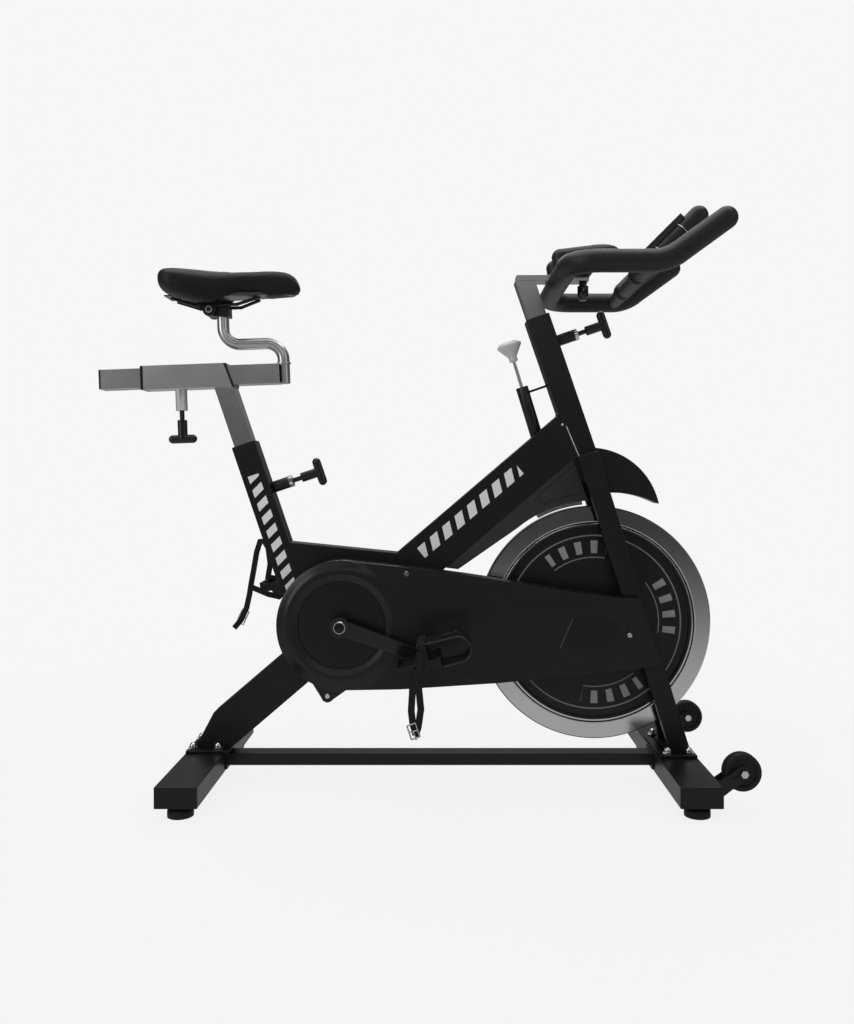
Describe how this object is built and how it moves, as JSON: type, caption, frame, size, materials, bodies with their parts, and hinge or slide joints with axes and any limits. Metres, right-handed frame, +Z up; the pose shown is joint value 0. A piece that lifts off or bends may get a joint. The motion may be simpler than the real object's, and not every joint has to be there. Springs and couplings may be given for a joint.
{
  "type": "exercise bike",
  "caption": "Indoor exercise bike with a chain-driven flywheel, sliding saddle, adjustable handlebar, toe-cage pedals and a push-down friction brake.",
  "frame": {"origin": "on the floor below the middle of the bike's overall box", "axes": "+X forwards, from the saddle to the handlebar; +Y to the rider's left; +Z up; the chain side faces -Y"},
  "size_m": [1.3238, 0.5, 1.1863],
  "materials": {
    "frame_black": "satin",
    "plastic_black": "matte",
    "guard_black": "satin",
    "cover_grey": "satin",
    "machined_steel": "brushed",
    "bright_chrome": "polished",
    "satin_chrome": "satin",
    "rim_chrome": "polished",
    "web_black": "satin",
    "pedal_black": "satin",
    "strap_black": "matte",
    "saddle_vinyl": "satin",
    "grip_black": "matte",
    "knob_grey": "satin",
    "wheel_black": "matte",
    "foot_rubber": "matte"
  },
  "bodies": {
    "frame": {"rear_stabilizer": "frame_black", "front_stabilizer": "frame_black", "stabilizer_end_caps": "plastic_black", "base_tube": "frame_black", "rear_leg": "frame_black", "main_beam": "frame_black", "bottom_bracket": "machined_steel", "seat_tube": "frame_black", "frame_gusset": "frame_black", "head_tube": "frame_black", "fork_leg_right": "frame_black", "fork_leg_left": "frame_black", "front_foot_plate": "frame_black", "frame_bolts": "bright_chrome", "chain_guard_outer": "guard_black", "chain_guard_inner": "guard_black", "chain": "machined_steel", "beam_cover": "cover_grey", "front_mudguard": "guard_black", "brake_sleeve": "frame_black", "post_bushes": "plastic_black", "lock_barrels": "bright_chrome", "flywheel_axle": "machined_steel"},
    "flywheel": {"flywheel_rim": "rim_chrome", "flywheel_web": "web_black", "flywheel_sprocket": "machined_steel"},
    "crank": {"crank_spindle": "machined_steel", "chainring": "machined_steel", "crank_arm_right": "frame_black", "crank_arm_left": "frame_black"},
    "right pedal": {"pedal_right": "pedal_black", "toe_cage_right": "plastic_black", "pedal_strap_right": "strap_black"},
    "left pedal": {"pedal_left": "pedal_black", "toe_cage_left": "plastic_black", "pedal_strap_left": "strap_black"},
    "seat mast": {"seat_post": "satin_chrome", "seat_sleeve": "satin_chrome"},
    "seat slider": {"slider_tube": "satin_chrome", "saddle_pin": "bright_chrome", "saddle_clamp": "frame_black"},
    "saddle": {"saddle_rails": "frame_black", "saddle_base": "plastic_black", "saddle_cushion": "saddle_vinyl"},
    "handlebar": {"handlebar_post": "satin_chrome", "handlebar_grips": "grip_black", "handlebar_inner_bars": "grip_black", "handlebar_tray": "plastic_black"},
    "clamp knob": {"handlebar_clamp_knob": "plastic_black"},
    "seat lock": {"seat_lock_pin": "plastic_black"},
    "slider lock": {"slider_lock_pin": "plastic_black"},
    "handlebar lock": {"handlebar_lock_pin": "plastic_black"},
    "brake": {"brake_rod": "satin_chrome"},
    "brake dial": {"brake_knob": "knob_grey"},
    "right wheel": {"transport_wheel_right": "wheel_black"},
    "left wheel": {"transport_wheel_left": "wheel_black"},
    "rear right foot": {"levelling_foot_rear_right": "foot_rubber"},
    "rear left foot": {"levelling_foot_rear_left": "foot_rubber"},
    "front right foot": {"levelling_foot_front_right": "foot_rubber"},
    "front left foot": {"levelling_foot_front_left": "foot_rubber"}
  },
  "joints": [
    {"name": "flywheel_spin", "type": "hinge", "parent": "frame", "child": "flywheel", "pos_m": [0.37808, 0, 0.331], "axis": [0, 1, 0], "continuous": true},
    {"name": "crank_spin", "type": "hinge", "parent": "frame", "child": "crank", "pos_m": [-0.147, 0, 0.334], "axis": [0, 1, 0], "continuous": true},
    {"name": "right_pedal_spin", "type": "hinge", "parent": "crank", "child": "right pedal", "pos_m": [0.01325, -0.175, 0.27725], "axis": [0, 1, 0], "continuous": true},
    {"name": "left_pedal_spin", "type": "hinge", "parent": "crank", "child": "left pedal", "pos_m": [-0.30725, 0.175, 0.39075], "axis": [0, 1, 0], "continuous": true},
    {"name": "seat_height", "type": "slide", "parent": "frame", "child": "seat mast", "axis": [-0.3223, 0, 0.9466], "range_m": [-0.1, 0.1]},
    {"name": "seat_reach", "type": "slide", "parent": "seat mast", "child": "seat slider", "axis": [0.9993, 0, 0.0366], "range_m": [-0.075, 0.075]},
    {"name": "saddle_tilt", "type": "hinge", "parent": "seat slider", "child": "saddle", "pos_m": [-0.42881, 0, 0.98645], "axis": [0, 1, 0], "range_deg": [-15, 15]},
    {"name": "handlebar_height", "type": "slide", "parent": "frame", "child": "handlebar", "axis": [-0.3256, 0, 0.9455], "range_m": [-0.025, 0.1]},
    {"name": "clamp_knob_turn", "type": "hinge", "parent": "handlebar", "child": "clamp knob", "pos_m": [0.35619, 0, 1.03], "axis": [0, 0, 1], "range_deg": [-180, 180]},
    {"name": "seat_lock_pull", "type": "slide", "parent": "frame", "child": "seat lock", "axis": [0.9466, 0, 0.3223], "range_m": [-0.007, 0.005], "stiffness_N_per_m": 3000},
    {"name": "slider_lock_pull", "type": "slide", "parent": "seat mast", "child": "slider lock", "axis": [0.0366, 0, -0.9993], "range_m": [-0.007, 0.005], "stiffness_N_per_m": 3000},
    {"name": "handlebar_lock_pull", "type": "slide", "parent": "frame", "child": "handlebar lock", "axis": [0.9455, 0, 0.3256], "range_m": [-0.007, 0.005], "stiffness_N_per_m": 3000},
    {"name": "brake_push", "type": "slide", "parent": "frame", "child": "brake", "axis": [0.2924, 0, -0.9563], "range_m": [0, 0.0035], "stiffness_N_per_m": 3000, "springref_m": -0.005},
    {"name": "brake_dial_turn", "type": "hinge", "parent": "brake", "child": "brake dial", "pos_m": [0.20851, 0, 0.88566], "axis": [-0.2924, 0, 0.9563], "range_deg": [-360, 360]},
    {"name": "right_wheel_spin", "type": "hinge", "parent": "frame", "child": "right wheel", "pos_m": [0.62688, -0.2, 0.078], "axis": [0, 1, 0], "continuous": true},
    {"name": "left_wheel_spin", "type": "hinge", "parent": "frame", "child": "left wheel", "pos_m": [0.62688, 0.2, 0.078], "axis": [0, 1, 0], "continuous": true},
    {"name": "rear_right_foot_turn", "type": "hinge", "parent": "frame", "child": "rear right foot", "pos_m": [-0.43279, -0.215, 0.02], "axis": [0, 0, 1], "range_deg": [-360, 360]},
    {"name": "rear_left_foot_turn", "type": "hinge", "parent": "frame", "child": "rear left foot", "pos_m": [-0.43279, 0.215, 0.02], "axis": [0, 0, 1], "range_deg": [-360, 360]},
    {"name": "front_right_foot_turn", "type": "hinge", "parent": "frame", "child": "front right foot", "pos_m": [0.53888, -0.215, 0.02], "axis": [0, 0, 1], "range_deg": [-360, 360]},
    {"name": "front_left_foot_turn", "type": "hinge", "parent": "frame", "child": "front left foot", "pos_m": [0.53888, 0.215, 0.02], "axis": [0, 0, 1], "range_deg": [-360, 360]}
  ],
  "couplings": [
    {"joint": "crank_spin", "follows": "flywheel_spin", "ratio": 0.38461}
  ]
}
